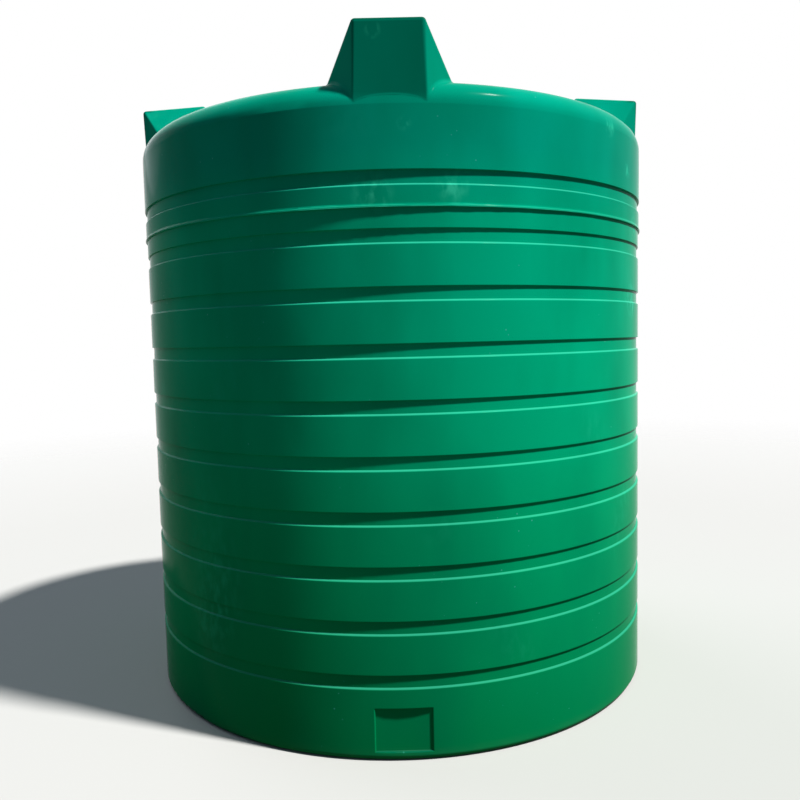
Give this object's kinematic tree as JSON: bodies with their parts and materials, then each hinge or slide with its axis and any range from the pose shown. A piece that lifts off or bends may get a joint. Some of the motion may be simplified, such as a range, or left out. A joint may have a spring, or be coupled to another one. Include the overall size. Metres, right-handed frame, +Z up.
{
  "type": "vertical water tank",
  "caption": "Upright round moulded plastic water tank with ribbed wall, domed roof, screw lid, lifting lugs, outlet and overflow.",
  "frame": {"origin": "centre of the flat base, on the ground", "axes": "+Z up along the tank axis; the bare outlet land faces -Y and the outlet and overflow fittings face +Y"},
  "size_m": [1.833, 1.8705, 2.0945],
  "materials": {
    "green_polyethylene": "glossy as moulded",
    "lid_polyethylene": "satin",
    "black_polypropylene": "satin",
    "rubber_gasket": "matt"
  },
  "bodies": {
    "root": {"base_floor": "green_polyethylene", "base_course": "green_polyethylene", "wall_course_1": "green_polyethylene", "wall_course_2": "green_polyethylene", "wall_course_3": "green_polyethylene", "wall_course_4": "green_polyethylene", "wall_course_5": "green_polyethylene", "wall_course_6": "green_polyethylene", "wall_course_7": "green_polyethylene", "wall_course_8": "green_polyethylene", "joint_course": "green_polyethylene", "lip_course": "green_polyethylene", "crown_course": "green_polyethylene", "roof": "green_polyethylene", "lug_front": "green_polyethylene", "lug_right": "green_polyethylene", "lug_back": "green_polyethylene", "lug_left": "green_polyethylene", "manhole_neck": "green_polyethylene", "manhole_lid": "lid_polyethylene", "outlet_fitting": "black_polypropylene", "outlet_gasket": "rubber_gasket", "outlet_nut": "black_polypropylene", "overflow_fitting": "black_polypropylene", "overflow_gasket": "rubber_gasket", "overflow_nut": "black_polypropylene"}
  },
  "joints": []
}
